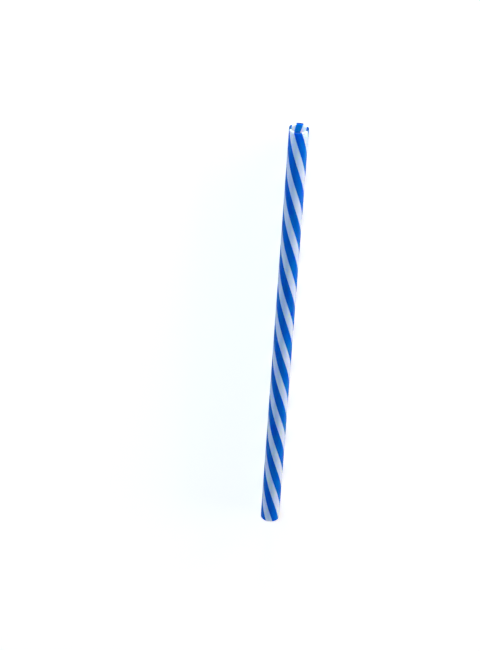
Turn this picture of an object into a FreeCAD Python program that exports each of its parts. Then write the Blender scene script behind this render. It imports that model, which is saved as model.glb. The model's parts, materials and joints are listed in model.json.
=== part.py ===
"""Straight reusable drinking straw: one extruded plastic tube, open at both ends.

The tube lies on its side, as it comes to rest on a table. Its axis runs along X, with the mouth end
at +X, and the origin is on the table under the middle of its length. Lengths are in millimetres.
"""

import FreeCAD
import Part

import os

# Driving dimensions
straw_length = 200.0
outer_diameter = 8.0
wall_thickness = 0.8

ROUNDING_SHARE_OF_WALL = 0.25  # under a half, so that the two roundings of one rim never meet
rim_rounding = ROUNDING_SHARE_OF_WALL * wall_thickness


def circle_across_axis(radius: float, x: float) -> Part.Wire:
    """A circle around the straw's axis, which lies one outer radius above the table.

    Args:
        radius: The circle's radius.
        x: Where along the straw it stands.

    Returns:
        The circle as a closed wire.
    """
    centre = FreeCAD.Vector(x, 0, outer_diameter / 2)
    return Part.Wire(Part.makeCircle(radius, centre, FreeCAD.Vector(1, 0, 0)))


def extruded_tube() -> Part.Shape:
    """The ring-shaped section of the straw, drawn along the straw's whole length.

    Returns:
        A tube with sharp edges at its two cut ends.
    """
    start = -straw_length / 2
    outer_radius = outer_diameter / 2
    outline = circle_across_axis(outer_radius, start)
    bore = circle_across_axis(outer_radius - wall_thickness, start)
    section = Part.Face(outline).cut(Part.Face(bore))
    return section.Faces[0].extrude(FreeCAD.Vector(straw_length, 0, 0))


def with_eased_rims(tube: Part.Shape) -> Part.Shape:
    """Rounds the outer and the inner edge of both cut ends.

    Args:
        tube: The tube with sharp edges.

    Returns:
        The tube with its four rim edges rounded.
    """
    rims = [edge for edge in tube.Edges if edge.Closed]
    return tube.makeFillet(rim_rounding, rims)


def main() -> None:
    """Builds the straw and writes it as one STEP file."""
    os.makedirs("parts", exist_ok=True)
    straw = with_eased_rims(extruded_tube())
    straw.exportStep("parts/straw_tube.step")
    print("volume mm3", round(straw.Volume, 3), "solids", len(straw.Solids), "valid", straw.isValid())


main()
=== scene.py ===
"""A striped drinking straw: a rigid tube of two plastics, lying in soft studio light.

The straw is one extruded wall. Four bright blue and four milky white stripes run through it in a
left-handed spiral, from the mouth end at +X to the far end at -X. Lengths are in metres.
"""

import json
import logging
import math
from dataclasses import dataclass, field
from enum import Enum

import bmesh
import bpy
from mathutils import Matrix, Vector


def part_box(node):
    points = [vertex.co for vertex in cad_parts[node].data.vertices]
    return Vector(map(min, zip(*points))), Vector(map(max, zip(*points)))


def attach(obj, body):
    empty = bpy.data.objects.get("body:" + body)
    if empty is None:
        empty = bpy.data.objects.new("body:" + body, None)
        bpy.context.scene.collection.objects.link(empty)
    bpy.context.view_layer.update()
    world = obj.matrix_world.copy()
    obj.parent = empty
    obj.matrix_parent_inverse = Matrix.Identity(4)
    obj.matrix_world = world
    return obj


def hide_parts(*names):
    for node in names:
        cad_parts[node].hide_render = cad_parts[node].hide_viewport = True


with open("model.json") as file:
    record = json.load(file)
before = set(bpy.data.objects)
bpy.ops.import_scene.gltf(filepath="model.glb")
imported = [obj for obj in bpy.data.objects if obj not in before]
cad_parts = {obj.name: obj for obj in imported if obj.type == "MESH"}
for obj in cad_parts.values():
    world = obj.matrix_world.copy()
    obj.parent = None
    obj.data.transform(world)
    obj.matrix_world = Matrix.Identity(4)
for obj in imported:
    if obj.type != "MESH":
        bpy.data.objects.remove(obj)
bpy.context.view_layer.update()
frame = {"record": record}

LOG = logging.getLogger("straw")
MM = 0.001
FULL_TURN = 2 * math.pi
FLAT_MAP = "OFBake"

Colour = tuple[float, float, float]
Place = tuple[float, float, float]
Groups = dict[str, bpy.types.NodeTree]
Sockets = dict[str, bpy.types.NodeSocket]


class Plastic(Enum):
    """The two plastics of the wall; the value is the straw's material slot."""

    BLUE = 0
    MILKY = 1


# ---------------------------------------------------------------- sizes


@dataclass(frozen=True)
class StrawSizes:
    """The sizes that the straw's mesh and its finishes share.

    Attributes:
        outer_radius: Outer radius of the tube.
        bore_radius: Radius of its bore.
        mouth: X of the mouth end.
        tail: X of the far end.
        rounding_share: The eased edges' radius as a share of the wall.
        stripes: How many stripes of each plastic.
        pitch: Length in which a stripe winds once around.
        first_stripe: How far above -Y the middle of one blue stripe stands at the mouth, an angle.
        blue_slices: Faces across one blue stripe.
        milky_slices: Faces across one milky stripe.
    """

    outer_radius: float
    bore_radius: float
    mouth: float
    tail: float
    rounding_share: float = 0.25
    stripes: int = 4
    pitch: float = 76 * MM
    first_stripe: float = math.radians(5.5)
    blue_slices: int = 13
    milky_slices: int = 11

    @property
    def length(self) -> float:
        """The straw's length."""
        return self.mouth - self.tail

    def tail_to(self, share: float) -> float:
        """X of a place some share of the way from the far end to the mouth.

        Args:
            share: The share, 0 at the far end and 1 at the mouth.

        Returns:
            The place's X.
        """
        return self.tail + share * self.length

    @property
    def wall(self) -> float:
        """The wall's thickness."""
        return self.outer_radius - self.bore_radius

    @property
    def rounding(self) -> float:
        """The radius of the eased edges of both cut ends."""
        return self.wall * self.rounding_share

    @property
    def axis(self) -> Vector:
        """The middle of the mouth, on the straw's axis."""
        return Vector((self.mouth, 0, self.outer_radius))

    @property
    def slices(self) -> int:
        """Faces once around the wall."""
        return self.stripes * (self.blue_slices + self.milky_slices)

    @property
    def blue_share(self) -> float:
        """The blue stripes' share of the wall."""
        return self.blue_slices * self.stripes / self.slices

    @property
    def turn_per_metre(self) -> float:
        """How far the stripes turn in a metre, in radians."""
        return FULL_TURN / self.pitch

    @property
    def first_edge(self) -> float:
        """Where the first blue stripe begins at the mouth, an angle from +Y towards +Z."""
        half_stripe = math.pi * self.blue_slices / self.slices
        return math.pi - self.first_stripe - half_stripe

    def share_around(self, point: Vector) -> float:
        """How far around the wall a point lies, once the wall is unwound.

        Args:
            point: A point of the wall.

        Returns:
            A share of the full turn, from 0 at the first blue stripe's first edge to 1.
        """
        angle = math.atan2(point.z - self.outer_radius, point.y) - self.first_edge
        unwound = angle + self.turn_per_metre * (point.x - self.mouth)
        return (unwound / FULL_TURN) % 1.0

    def plastic_at(self, point: Vector) -> Plastic:
        """Which plastic the wall has at a point.

        Args:
            point: A point of the wall.

        Returns:
            The plastic there.
        """
        place = (self.share_around(point) * self.stripes) % 1.0
        return Plastic.BLUE if place < self.blue_share else Plastic.MILKY


# ---------------------------------------------------------------- node building


class Nodes:
    """A short way to add nodes to one tree and to link them."""

    def __init__(self, tree: bpy.types.NodeTree) -> None:
        """Keeps the tree and empties it.

        Args:
            tree: The node tree of a material, a group or the world.
        """
        self.tree = tree
        tree.nodes.clear()

    def add(self, kind: str, **inputs: object) -> bpy.types.Node:
        """Adds a node and fills its inputs.

        Args:
            kind: The node's type name.
            **inputs: Values or output sockets by input name, with _ for a space.

        Returns:
            The new node.
        """
        node = self.tree.nodes.new(kind)
        for name, value in inputs.items():
            self.feed(node.inputs[name.replace("_", " ")], value)
        return node

    def feed(self, socket: bpy.types.NodeSocket, value: object) -> None:
        """Links an output to a socket, or sets the socket's own value.

        Args:
            socket: The input socket.
            value: An output socket, a number or a tuple of numbers.
        """
        if isinstance(value, bpy.types.NodeSocket):
            self.tree.links.new(value, socket)
        else:
            socket.default_value = value

    def maths(self, operation: str, *values: object) -> bpy.types.NodeSocket:
        """Adds a Math node.

        Args:
            operation: The Math node's operation.
            *values: Its inputs in order.

        Returns:
            Its output socket.
        """
        node = self.tree.nodes.new("ShaderNodeMath")
        node.operation = operation
        for socket, value in zip(node.inputs, values):
            self.feed(socket, value)
        return node.outputs[0]

    def ramp(self, value: object, start: float, end: float) -> bpy.types.NodeSocket:
        """Turns a value into a soft-edged mask.

        Args:
            value: The value.
            start: Where the mask is 0.
            end: Where it is 1, above or below the start.

        Returns:
            The mask's socket.
        """
        low, high = sorted((start, end))
        node = self.add("ShaderNodeMapRange", Value=value, From_Min=low, From_Max=high)
        node.interpolation_type = "SMOOTHSTEP"
        node.inputs["To Min"].default_value = float(start > end)
        node.inputs["To Max"].default_value = float(start < end)
        return node.outputs["Result"]

    def noise(self, place: object, scale: float, detail: float) -> bpy.types.NodeSocket:
        """Adds a Noise Texture.

        Args:
            place: The place in the noise, a vector socket.
            scale: How fine the noise is there.
            detail: Its levels of detail.

        Returns:
            The socket of its value, 0 to 1.
        """
        node = self.add("ShaderNodeTexNoise", Vector=place, Scale=scale, Detail=detail)
        return node.outputs["Fac"]

    def tint(self, share: object, first: object, second: object) -> bpy.types.NodeSocket:
        """Mixes two colours.

        Args:
            share: How much of the second colour, a socket.
            first: The first colour, a socket or a linear colour.
            second: The second colour, likewise.

        Returns:
            The mixed colour's socket.
        """
        node = self.tree.nodes.new("ShaderNodeMix")
        node.data_type = "RGBA"
        sockets = {socket.identifier: socket for socket in (*node.inputs, *node.outputs)}
        self.feed(sockets["Factor_Float"], share)
        for name, colour in (("A_Color", first), ("B_Color", second)):
            self.feed(sockets[name], (*colour, 1.0) if isinstance(colour, tuple) else colour)
        return sockets["Result_Color"]


class WallNodes(Nodes):
    """A node group that takes a position and finds its place on the straw's wall.

    Attributes:
        given: The group's own inputs by name, as sockets inside it.
        along: Where the position is along the straw.
        across: Where it is across it.
        up: How high it is over the straw's axis.
        radius: How far it is from the axis.
        angle: How far around the unwound wall it is, from the first blue stripe's first edge.
    """

    def __init__(
        self, name: str, sizes: StrawSizes, inputs: tuple[str, ...], outputs: tuple[str, ...]
    ) -> None:
        """Makes the group with its sockets and the nodes that every effect starts from.

        Args:
            name: The group's name.
            sizes: The straw's sizes.
            inputs: Names of the values that it takes besides the position.
            outputs: Names of the values that it puts out.
        """
        super().__init__(bpy.data.node_groups.new(name, "ShaderNodeTree"))
        sockets = self.tree.interface
        sockets.new_socket("Position", in_out="INPUT", socket_type="NodeSocketVector")
        for value in inputs:
            sockets.new_socket(value, in_out="INPUT", socket_type="NodeSocketFloat")
        for value in outputs:
            sockets.new_socket(value, in_out="OUTPUT", socket_type="NodeSocketFloat")
        self.given = self.add("NodeGroupInput").outputs
        at = self.add("ShaderNodeSeparateXYZ", Vector=self.given["Position"])
        self.along, self.across = at.outputs["X"], at.outputs["Y"]
        self.up = self.maths("SUBTRACT", at.outputs["Z"], sizes.outer_radius)
        flat = self.maths("MULTIPLY", self.across, self.across)
        upright = self.maths("MULTIPLY", self.up, self.up)
        self.radius = self.maths("SQRT", self.maths("ADD", flat, upright))
        turned = self.maths("ARCTAN2", self.up, self.across)
        twist = self.maths("MULTIPLY", self.along, sizes.turn_per_metre)
        first_angle = sizes.first_edge + sizes.turn_per_metre * sizes.mouth
        self.angle = self.maths("SUBTRACT", self.maths("ADD", turned, twist), first_angle)

    def put_out(self, **values: bpy.types.NodeSocket) -> bpy.types.NodeTree:
        """Links the group's outputs.

        Args:
            **values: The sockets by output name.

        Returns:
            The finished group.
        """
        self.add("NodeGroupOutput", **values)
        return self.tree


# ---------------------------------------------------------------- the two plastics


@dataclass(frozen=True)
class WallEffects:
    """The marks of extruding and cutting, which both plastics wear, and the masks where painted
    light and shade go: at the stripes' edges, in the bore and on the cut ends.

    Attributes:
        sizes: The straw's sizes.
        stretch: How much longer than wide the drawn grain is.
        grain_detail: Levels of detail in the drawn grain.
        cloud_scale: How fine the tones are, as a share of the grain's fineness.
        cloud_range: Noise values at which the tone is 0 and 1.
        cut_depth: How far in from an end the cut's marks reach.
        cut_edge: How far in from an end they are at full strength.
        saw_stretch: How much longer than wide the marks of the cut are.
        coarse_detail: Levels of detail in the tones and in the marks of the cut.
        bore_fade: Where the bore's painted light ends and where it is full, as shares of the wall
            from the bore outwards.
    """

    sizes: StrawSizes
    stretch: float = 64.0
    grain_detail: float = 3.0
    cloud_scale: float = 0.22
    cloud_range: tuple[float, float] = (0.3, 0.7)
    cut_depth: float = 0.12 * MM
    cut_edge: float = 0.04 * MM
    saw_stretch: float = 12.0
    coarse_detail: float = 2.0
    bore_fade: tuple[float, float] = (0.375, 0.125)

    def grain(self) -> bpy.types.NodeTree:
        """Builds the drawn grain: faint lines and tones that follow the stripes.

        Returns:
            A group that takes the lines to a metre, and puts out a height and a tone, 0 to 1.
        """
        nodes = WallNodes("drawn_grain", self.sizes, ("Lines",), ("Height", "Tone"))
        lines = nodes.given["Lines"]
        around = nodes.maths("MULTIPLY", lines, self.sizes.outer_radius)
        drawn = nodes.maths("DIVIDE", lines, self.stretch)
        unwound = nodes.add(
            "ShaderNodeCombineXYZ",
            X=nodes.maths("MULTIPLY", nodes.maths("COSINE", nodes.angle), around),
            Y=nodes.maths("MULTIPLY", nodes.maths("SINE", nodes.angle), around),
            Z=nodes.maths("MULTIPLY", nodes.along, drawn),
        ).outputs["Vector"]
        fine = nodes.noise(unwound, 1.0, self.grain_detail)
        clouds = nodes.noise(unwound, self.cloud_scale, self.coarse_detail)
        tone = nodes.ramp(clouds, *self.cloud_range)
        return nodes.put_out(Height=fine, Tone=tone)

    def seam_glow(self) -> bpy.types.NodeTree:
        """Builds the mask of the edges between two stripes, where painted light goes: a tint of
        light scattered across from the neighbouring stripe.

        Returns:
            A group that takes the seam's width, and puts out a mask that is 1 at the seam.
        """
        nodes = WallNodes("stripe_seam_glow", self.sizes, ("Width",), ("Mask",))
        turns = nodes.maths("MULTIPLY", nodes.angle, self.sizes.stripes / FULL_TURN)
        place = nodes.maths("FRACT", turns)
        edge = nodes.maths("ABSOLUTE", nodes.maths("SUBTRACT", place, self.sizes.blue_share))
        wrap = nodes.maths("MINIMUM", place, nodes.maths("SUBTRACT", 1.0, place))
        nearest = nodes.maths("MINIMUM", edge, wrap)
        arc = nodes.maths("MULTIPLY", nodes.radius, FULL_TURN / self.sizes.stripes)
        away = nodes.maths("MULTIPLY", nearest, arc)
        widths_away = nodes.maths("DIVIDE", away, nodes.given["Width"])
        return nodes.put_out(Mask=nodes.ramp(widths_away, 1.0, 0.0))

    def ends(self) -> bpy.types.NodeTree:
        """Builds the masks of the cut ends and of the bore, where the plastics take their own
        colours: painted light in the bore, and painted shade on the blue's cut ends.

        Returns:
            A group that takes the cut's lines to a metre, and puts out their height, a mask of
            the cut ends and one of the bore.
        """
        nodes = WallNodes("open_ends", self.sizes, ("Lines",), ("Saw", "Cut", "Bore"))
        middle = self.sizes.tail_to(0.5)
        off_middle = nodes.maths("ABSOLUTE", nodes.maths("SUBTRACT", nodes.along, middle))
        end = self.sizes.length / 2
        cut = nodes.ramp(off_middle, end - self.cut_depth, end - self.cut_edge)
        # The bore's mask: there each plastic takes a lighter colour as painted light gathered
        # inside the tube.
        bore_light_ends, bore_light_full = (
            self.sizes.bore_radius + share * self.sizes.wall for share in self.bore_fade
        )
        bore = nodes.ramp(nodes.radius, bore_light_ends, bore_light_full)
        lines = nodes.given["Lines"]
        long_lines = nodes.maths("DIVIDE", lines, self.saw_stretch)
        section = nodes.add(
            "ShaderNodeCombineXYZ",
            X=nodes.maths("MULTIPLY", nodes.across, lines),
            Y=nodes.maths("MULTIPLY", nodes.up, long_lines),
        ).outputs["Vector"]
        saw = nodes.noise(section, 1.0, self.coarse_detail)
        return nodes.put_out(Saw=saw, Cut=cut, Bore=bore)

    def build(self) -> Groups:
        """Builds the three groups.

        Returns:
            The groups by the names that the plastics call them.
        """
        return {"grain": self.grain(), "seam_glow": self.seam_glow(), "ends": self.ends()}


@dataclass(frozen=True)
class StripePlastic:
    """One of the two plastics of the wall. Its colours are linear.

    Attributes:
        name: The material's name.
        thin: Colour where the pigment is a little thinner.
        full: Colour where it is full.
        seam_glow: Painted light at its seams with the other plastic: a tint of light scattered
            across from the other stripe.
        bore: Colour inside the bore, lighter than the plastic as painted light gathered in the
            tube.
        cut: Colour of the cut ends; the blue's is darkened as painted shade.
        depth: How far light travels inside it, for red, green and blue.
        seam_glow_width: How far that painted light reaches into it.
        seam_glow_strength: How strongly that painted light tints it.
        grain_lines: Grain lines to a metre across the stripes.
        saw_lines: Fine marks to a metre of the cut ends.
        roughness: Surface roughness of the drawn skin at its smoothest.
        roughness_range: How much rougher it is at its roughest.
        cut_roughness: What the cut ends add to it.
        gloss: Strength of its mirror reflection, where 0.5 is that of bare plastic.
        relief: How deep the grain and the marks of the cut are.
        refraction: Index of refraction of polypropylene.
    """

    name: str
    thin: Colour
    full: Colour
    seam_glow: Colour
    bore: Colour
    cut: Colour
    depth: Colour
    seam_glow_width: float
    seam_glow_strength: float = 0.6
    grain_lines: float = 3.2 / MM
    saw_lines: float = 9.0 / MM
    roughness: float = 0.17
    roughness_range: float = 0.07
    cut_roughness: float = 0.2
    gloss: float = 0.22
    relief: float = 0.004 * MM
    refraction: float = 1.49

    def marks(self, nodes: Nodes, effects: Groups) -> Sockets:
        """Places the shared groups in the material, each with this plastic's own value.

        Args:
            nodes: The material's nodes.
            effects: The shared groups by name.

        Returns:
            Every output of the groups, by its name.
        """
        place = nodes.add("ShaderNodeTexCoord").outputs["Object"]
        own_values = {
            "grain": {"Lines": self.grain_lines},
            "seam_glow": {"Width": self.seam_glow_width},
            "ends": {"Lines": self.saw_lines},
        }
        found = {}
        for name, values in own_values.items():
            group = nodes.add("ShaderNodeGroup")
            group.node_tree = effects[name]
            for socket, value in {"Position": place, **values}.items():
                nodes.feed(group.inputs[socket], value)
            found.update(group.outputs.items())
        return found

    def build(self, effects: Groups) -> bpy.types.Material:
        """Builds the material.

        Args:
            effects: The shared groups by name.

        Returns:
            The finished material.
        """
        material = bpy.data.materials.new(self.name)
        material.use_nodes = True
        nodes = Nodes(material.node_tree)
        mark = self.marks(nodes, effects)
        colour = nodes.tint(mark["Tone"], self.thin, self.full)
        # Painted light: the bore takes a lighter colour that stands in for light gathered inside
        # the tube.
        colour = nodes.tint(mark["Bore"], colour, self.bore)
        # The cut ends take their own colour; the blue's is darkened as painted shade.
        colour = nodes.tint(mark["Cut"], colour, self.cut)
        # Painted light: at the edges between stripes each plastic takes a tint of light scattered
        # across from the other stripe.
        seam_glow = nodes.maths("MULTIPLY", mark["Mask"], self.seam_glow_strength)
        colour = nodes.tint(seam_glow, colour, self.seam_glow)
        skin = nodes.maths("MULTIPLY_ADD", mark["Tone"], self.roughness_range, self.roughness)
        rough = nodes.maths("MULTIPLY_ADD", mark["Cut"], self.cut_roughness, skin)
        uncut = nodes.maths("SUBTRACT", 1.0, mark["Cut"])
        drawn = nodes.maths("MULTIPLY", mark["Height"], uncut)
        height = nodes.maths("MULTIPLY_ADD", mark["Saw"], mark["Cut"], drawn)
        relief = nodes.add("ShaderNodeBump", Height=height, Distance=self.relief)
        surface = nodes.add(
            "ShaderNodeBsdfPrincipled",
            Base_Color=colour,
            Roughness=rough,
            IOR=self.refraction,
            Specular_IOR_Level=self.gloss,
            Subsurface_Weight=1.0,
            Subsurface_Radius=self.depth,
            Subsurface_Scale=1.0,
            Normal=relief.outputs["Normal"],
        )
        nodes.add("ShaderNodeOutputMaterial", Surface=surface.outputs["BSDF"])
        return material


BLUE = StripePlastic(
    name="blue_plastic",
    thin=(0.0006, 0.170, 0.69),
    full=(0.0002, 0.142, 0.60),
    # Lighter blue at the seams, as painted light scattered across from the milky stripe.
    seam_glow=(0.01, 0.22, 0.68),
    # Lighter than the plastic, as painted light gathered inside the tube.
    bore=(0.003, 0.32, 0.80),
    # Darkened as painted shade on the cut ends.
    cut=(0.0001, 0.06, 0.21),
    depth=(0.05 * MM, 0.4 * MM, 3.0 * MM),
    seam_glow_width=0.25 * MM,
)
MILKY = StripePlastic(
    name="milky_plastic",
    thin=(0.74, 0.85, 0.93),
    full=(0.82, 0.90, 0.955),
    # Bluish at the seams, as painted light scattered across from the blue stripe.
    seam_glow=(0.45, 0.67, 0.90),
    # Lighter than the plastic, as painted light gathered inside the tube.
    bore=(0.94, 0.925, 0.90),
    cut=(0.91, 0.935, 0.95),
    depth=(3.5 * MM, 2.8 * MM, 1.0 * MM),
    seam_glow_width=0.35 * MM,
)
FINISHES = {Plastic.BLUE: BLUE, Plastic.MILKY: MILKY}


# ---------------------------------------------------------------- the straw


class Zone(Enum):
    """The parts of the wall; the value is the band that each has in the flat map."""

    OUTSIDE = (0.54, 0.99)
    BORE = (0.10, 0.49)
    MOUTH_RIM = (0.055, 0.085)
    TAIL_RIM = (0.01, 0.04)


FLAT_ENDS = (0.01, 0.99)  # the band that the length takes in the flat map
END_FACE = 0.9  # a face whose normal has more than this along the straw is a cut end
RIM_FACE = 0.1  # one that has more than this belongs to a rim, with its eased edges


@dataclass
class StripedStraw:
    """The extruded tube, with its stripes as sectors of the wall that wind along it.

    Attributes:
        sizes: The straw's sizes.
        rings: Faces along the straw.
        rounding_steps: Faces across each eased rim edge.
        mesh: The mesh being built.
    """

    sizes: StrawSizes
    rings: int = 250
    rounding_steps: int = 4
    mesh: bmesh.types.BMesh = field(default_factory=bmesh.new)

    def ring_section(self) -> None:
        """Makes the flat ring of the mouth, in blue and milky sectors."""
        sizes = self.sizes
        upright = Matrix.Translation(sizes.axis) @ Matrix.Rotation(math.pi / 2, 4, "Y")
        circles = []
        for radius in (sizes.bore_radius, sizes.outer_radius):
            made = bmesh.ops.create_circle(
                self.mesh, segments=sizes.slices, radius=radius, matrix=upright
            )
            circles += made["verts"]
        bmesh.ops.bridge_loops(self.mesh, edges=self.mesh.edges[:])
        turned = Matrix.Rotation(-FULL_TURN * sizes.share_around(circles[0].co), 3, "X")
        bmesh.ops.rotate(self.mesh, cent=sizes.axis, matrix=turned, verts=self.mesh.verts[:])
        for face in self.mesh.faces:
            face.material_index = sizes.plastic_at(face.calc_center_median()).value

    def wind_along(self) -> None:
        """Draws the section along the straw while it turns, so that each stripe winds."""
        bmesh.ops.spin(
            self.mesh,
            geom=self.mesh.verts[:] + self.mesh.edges[:] + self.mesh.faces[:],
            cent=self.sizes.axis,
            axis=(1, 0, 0),
            dvec=(-self.sizes.length / self.rings, 0, 0),
            angle=self.sizes.turn_per_metre * self.sizes.length,
            steps=self.rings,
            use_merge=False,
            use_duplicate=False,
        )
        bmesh.ops.recalc_face_normals(self.mesh, faces=self.mesh.faces[:])

    def ease_rims(self) -> None:
        """Rounds the outer and the inner edge of both cut ends."""
        rims = []
        for edge in self.mesh.edges:
            ends = [face for face in edge.link_faces if abs(face.normal.x) > END_FACE]
            if len(edge.link_faces) == 2 and len(ends) == 1:
                rims.append(edge)
        bmesh.ops.bevel(
            self.mesh,
            geom=rims,
            offset=self.sizes.rounding,
            offset_type="OFFSET",
            affect="EDGES",
            segments=self.rounding_steps,
            profile=0.5,
            material=-1,
            clamp_overlap=True,
        )

    def zone_of(self, face: bmesh.types.BMFace) -> Zone:
        """Which part of the wall a face belongs to.

        Args:
            face: A face of the finished tube.

        Returns:
            Its zone.
        """
        middle = face.calc_center_median()
        if abs(face.normal.x) > RIM_FACE:
            return Zone.MOUTH_RIM if middle.x > self.sizes.tail_to(0.5) else Zone.TAIL_RIM
        outwards = (middle - self.sizes.axis).dot(face.normal) > 0
        return Zone.OUTSIDE if outwards else Zone.BORE

    def flat_place(self, point: Vector, zone: Zone, column: float) -> tuple[float, float]:
        """Where a point of the wall lies in the flat map.

        Args:
            point: The point.
            zone: The part of the wall that it is seen as part of.
            column: The share around of a place beside it, which it is kept next to.

        Returns:
            Its place in the flat map.
        """
        sizes = self.sizes
        around = column + (sizes.share_around(point) - column + 0.5) % 1.0 - 0.5
        if zone in (Zone.OUTSIDE, Zone.BORE):
            across, up = (point.x - sizes.tail) / sizes.length, around
        else:
            end = sizes.mouth if zone is Zone.MOUTH_RIM else sizes.tail
            off_axis = math.hypot(point.y, point.z - sizes.outer_radius)
            outwards = off_axis - (sizes.bore_radius + sizes.outer_radius) / 2
            over_rim = math.atan2(outwards, sizes.rounding - abs(point.x - end)) / math.pi
            across, up = around, 0.5 + over_rim
        low, high = zone.value
        left, right = FLAT_ENDS
        return left + (right - left) * across, low + (high - low) * up

    def lay_flat(self) -> None:
        """Unwinds the wall into the flat map, where the stripes run straight side by side."""
        layer = self.mesh.loops.layers.uv.new(FLAT_MAP)
        for face in self.mesh.faces:
            zone = self.zone_of(face)
            column = self.sizes.share_around(face.calc_center_median())
            for loop in face.loops:
                loop[layer].uv = self.flat_place(loop.vert.co, zone, column)

    def build(self) -> bpy.types.Object:
        """Builds the straw's mesh and dresses it.

        Returns:
            The finished piece.
        """
        self.ring_section()
        self.wind_along()
        self.ease_rims()
        self.lay_flat()
        for face in self.mesh.faces:
            face.smooth = True
        data = bpy.data.meshes.new("striped_straw")
        self.mesh.to_mesh(data)
        self.mesh.free()
        straw = bpy.data.objects.new("striped_straw", data)
        bpy.context.scene.collection.objects.link(straw)
        effects = WallEffects(self.sizes).build()
        for plastic in Plastic:
            data.materials.append(FINISHES[plastic].build(effects))
        return straw


# ---------------------------------------------------------------- the studio


@dataclass(frozen=True)
class Softbox:
    """A soft light that faces the middle of the straw.

    Attributes:
        name: The light's name.
        place: Where it hangs.
        power: Its power in watts.
        colour: Its linear colour.
        width: How wide it is, in metres.
        height: How tall it is, in metres.
    """

    name: str
    place: Place
    power: float
    colour: Colour
    width: float = 0.9
    height: float = 0.9

    def hang(self) -> None:
        """Hangs the light."""
        data = bpy.data.lights.new(self.name, "AREA")
        data.shape = "RECTANGLE"
        data.size, data.size_y = self.width, self.height
        data.energy = self.power
        data.color = self.colour
        light = bpy.data.objects.new(self.name, data)
        light.location = self.place
        light.rotation_mode = "QUATERNION"
        light.rotation_quaternion = (-Vector(self.place)).to_track_quat("-Z", "Y")
        light.visible_camera = False
        bpy.context.scene.collection.objects.link(light)


WHITE = (1.0, 1.0, 1.0, 1.0)
FLOOR_GREY = (0.8, 0.8, 0.8, 1.0)
FLOOR_GLOW = (1.0, 0.93, 0.9, 1.0)
WARM = (1.0, 0.935, 0.885)
COOL = (0.25, 0.62, 1.0)
ROSE = (1.0, 0.76, 0.82)
LOW_HEIGHT = 0.26
SOFTBOXES = (
    Softbox("key", (0.1, -1.3, 0.16), 12.0, WARM, height=LOW_HEIGHT),
    Softbox("front", (1.2, -0.9, 0.16), 14.0, WARM, height=LOW_HEIGHT),
    Softbox("far_side", (1.2, 0.9, 0.16), 6.5, ROSE, height=LOW_HEIGHT),
    Softbox("tail_light", (-1.4, 0.3, 0.16), 10.0, WARM, width=0.5, height=LOW_HEIGHT),
    Softbox("mouth_light", (1.5, 0.0, 0.15), 15.0, WARM, width=0.5, height=LOW_HEIGHT),
    Softbox("overhead", (0.9, 0.45, 1.15), 14.0, COOL),
)


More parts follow.
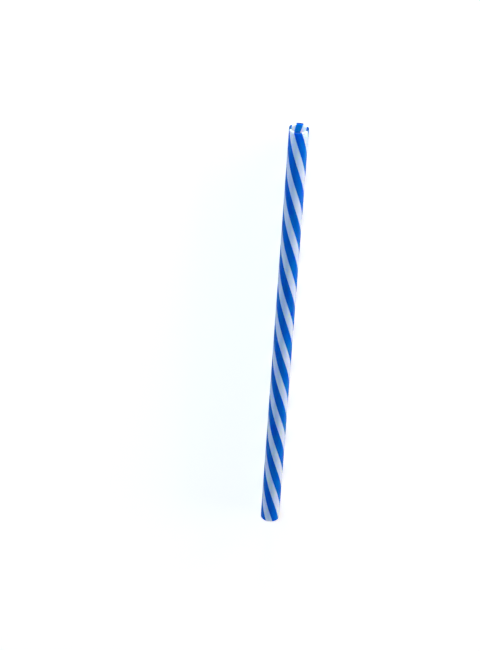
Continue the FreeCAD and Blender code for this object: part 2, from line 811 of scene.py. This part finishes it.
@dataclass
class Studio:
    """A pale floor, soft lights and the camera.

    Attributes:
        mouth: Middle of the straw's mouth, which the camera is placed from.
        tilt: How far the straw leans out of the view's plane, its mouth towards the camera.
        lean: How far it leans to the left in the view, towards its far end.
        mouth_distance: Distance of the mouth from the camera, along the line of sight.
        mouth_right: How far the mouth lies right of the line of sight.
        mouth_up: How far it lies above the line of sight.
        lens: Focal length in millimetres.
        reach: Nearest and farthest distance that the camera sees.
        room_light: Strength of the light from all around.
        floor_reach: Half of the floor's side.
        floor_glow: How much brighter the floor shows than its light makes it.
        floor_roughness: Roughness of the floor.
    """

    mouth: Vector
    tilt: float = math.radians(36.5)
    lean: float = math.radians(3.73)
    mouth_distance: float = 1.307
    mouth_right: float = 23.4 * MM
    mouth_up: float = 78.2 * MM
    lens: float = 182.5
    reach: tuple[float, float] = (0.05, 20.0)
    room_light: float = 0.04
    floor_reach: float = 4.0
    floor_glow: float = 0.7
    floor_roughness: float = 0.9

    def floor(self) -> None:
        """Lays the pale floor, which shows nearly white."""
        mesh = bmesh.new()
        bmesh.ops.create_grid(mesh, x_segments=1, y_segments=1, size=self.floor_reach)
        data = bpy.data.meshes.new("floor")
        mesh.to_mesh(data)
        mesh.free()
        floor = bpy.data.objects.new("floor", data)
        bpy.context.scene.collection.objects.link(floor)
        material = bpy.data.materials.new("floor_white")
        material.use_nodes = True
        nodes = Nodes(material.node_tree)
        path = nodes.add("ShaderNodeLightPath")
        glow = nodes.maths("MULTIPLY", path.outputs["Is Camera Ray"], self.floor_glow)
        surface = nodes.add(
            "ShaderNodeBsdfPrincipled",
            Base_Color=FLOOR_GREY,
            Roughness=self.floor_roughness,
            Specular_IOR_Level=0.0,
            Emission_Color=FLOOR_GLOW,
            Emission_Strength=glow,
        )
        nodes.add("ShaderNodeOutputMaterial", Surface=surface.outputs["BSDF"])
        data.materials.append(material)

    def lights(self) -> None:
        """Hangs the soft lights and lights the room."""
        for softbox in SOFTBOXES:
            softbox.hang()
        world = bpy.data.worlds.new("room")
        bpy.context.scene.world = world
        world.use_nodes = True
        nodes = Nodes(world.node_tree)
        path = nodes.add("ShaderNodeLightPath")
        seen = nodes.maths("MULTIPLY", path.outputs["Is Camera Ray"], 1.0 - self.room_light)
        strength = nodes.maths("ADD", seen, self.room_light)
        sky = nodes.add("ShaderNodeBackground", Color=WHITE, Strength=strength)
        nodes.add("ShaderNodeOutputWorld", Surface=sky.outputs["Background"])

    def camera(self) -> None:
        """Sets the camera over the mouth end, so that the mouth is at the top of the view."""
        forward = Vector((-math.sin(self.tilt), 0, -math.cos(self.tilt)))
        roll = Matrix.Rotation(-self.lean, 3, forward)
        right = roll @ Vector((0, -1, 0))
        up = right.cross(forward)
        place = (
            self.mouth
            - forward * self.mouth_distance
            - right * self.mouth_right
            - up * self.mouth_up
        )
        data = bpy.data.cameras.new("camera")
        data.lens = self.lens
        data.clip_start, data.clip_end = self.reach
        camera = bpy.data.objects.new("camera", data)
        turn = Matrix((right, up, -forward)).transposed()
        camera.matrix_world = Matrix.Translation(place) @ turn.to_4x4()
        bpy.context.scene.collection.objects.link(camera)
        bpy.context.scene.camera = camera


# ---------------------------------------------------------------- all together


def mount_radius(name: str) -> float:
    """The radius of one of the record's mounts.

    Args:
        name: The mount's name.

    Returns:
        Its radius in metres.
    """
    mount = next(m for m in frame["record"]["mounts"] if m["name"] == name)
    return mount["dims"]["r_mm"] * MM


def main() -> None:
    """Builds the straw and its studio."""
    logging.basicConfig(level=logging.INFO, format="%(name)s: %(message)s")
    low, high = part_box("straw_tube")
    sizes = StrawSizes(mount_radius("outside"), mount_radius("bore"), mouth=high.x, tail=low.x)
    straw = StripedStraw(sizes).build()
    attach(straw, "root")
    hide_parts("straw_tube")
    LOG.info("striped_straw: %d faces", len(straw.data.polygons))
    studio = Studio(sizes.axis)
    studio.floor()
    studio.lights()
    studio.camera()
    bpy.context.scene.view_settings.view_transform = "Standard"


if __name__ == "__main__":
    main()
